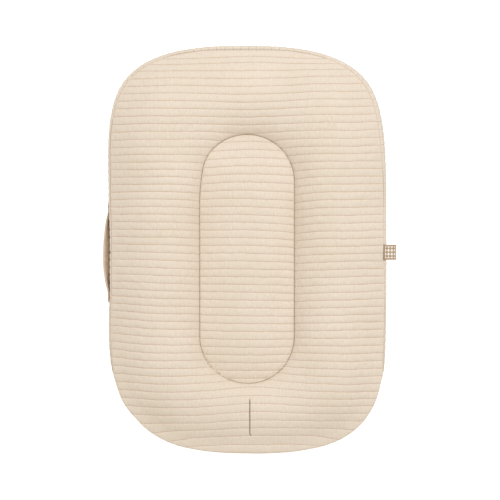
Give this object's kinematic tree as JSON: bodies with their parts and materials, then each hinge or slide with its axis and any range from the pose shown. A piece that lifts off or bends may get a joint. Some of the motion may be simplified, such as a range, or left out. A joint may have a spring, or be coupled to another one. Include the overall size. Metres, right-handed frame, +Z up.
{
  "type": "infant lounger",
  "caption": "Sloped oval infant lounger: a padded ring round a sunken seat, quilted zip-off cover, side carrying strap and woven tab.",
  "frame": {"origin": "middle of the underside, on the surface that the lounger lies on", "axes": "+X across, to the right of a person who looks from the foot to the head; +Y towards the head; +Z up"},
  "size_m": [0.5806, 0.8, 0.1507],
  "materials": {
    "quilted_jersey": "matt knitted jersey quilted to wadding",
    "lining": "matt plain weave",
    "wadding": "loose polyester fibre",
    "foam": "open-cell polyurethane foam",
    "zip_tape": "matt woven tape",
    "nylon": "moulded, satin",
    "zip_metal": "plated, satin",
    "webbing": "matt woven strap",
    "tan_patch": "matt woven ribbon"
  },
  "bodies": {
    "root": {"ring_panel": "quilted_jersey", "seat_panel": "quilted_jersey", "side_band_head": "quilted_jersey", "side_band_foot": "quilted_jersey", "base_panel_head": "lining", "base_panel_foot": "lining", "ring_bolster": "wadding", "seat_cushion": "wadding", "seat_well_wall": "lining", "filling_floor": "lining", "base_core": "foam", "zip_tape_head": "zip_tape", "zip_tape_foot": "zip_tape", "zip_teeth_head": "nylon", "zip_teeth_foot": "nylon", "zip_stop_closed": "nylon", "zip_stop_open": "nylon", "zip_garage_closed": "lining", "zip_garage_open": "lining", "handle_end_head": "webbing", "handle_end_foot": "webbing", "handle_patch_head": "tan_patch", "handle_patch_foot": "tan_patch", "handle_backing": "lining", "side_tag": "tan_patch"},
    "slider": {"zip_slider": "zip_metal"},
    "pull": {"zip_pull": "zip_metal"},
    "grip": {"handle_grip": "webbing"}
  },
  "joints": [
    {"name": "zip_slide", "type": "slide", "parent": "root", "child": "slider", "axis": [1, 0, 0], "range_m": [-0.405, 0], "deforming": ["zip_teeth_head", "zip_teeth_foot"]},
    {"name": "pull_swing", "type": "hinge", "parent": "slider", "child": "pull", "pos_m": [0.2027, -0.235, 0.0021], "axis": [0, -1, 0], "range_deg": [0, 180]},
    {"name": "handle_swing", "type": "hinge", "parent": "root", "child": "grip", "pos_m": [-0.2743, -0.0059, 0.04], "axis": [0, 1, 0], "range_deg": [-20, 20], "stiffness_Nm_per_rad": 0.002}
  ]
}
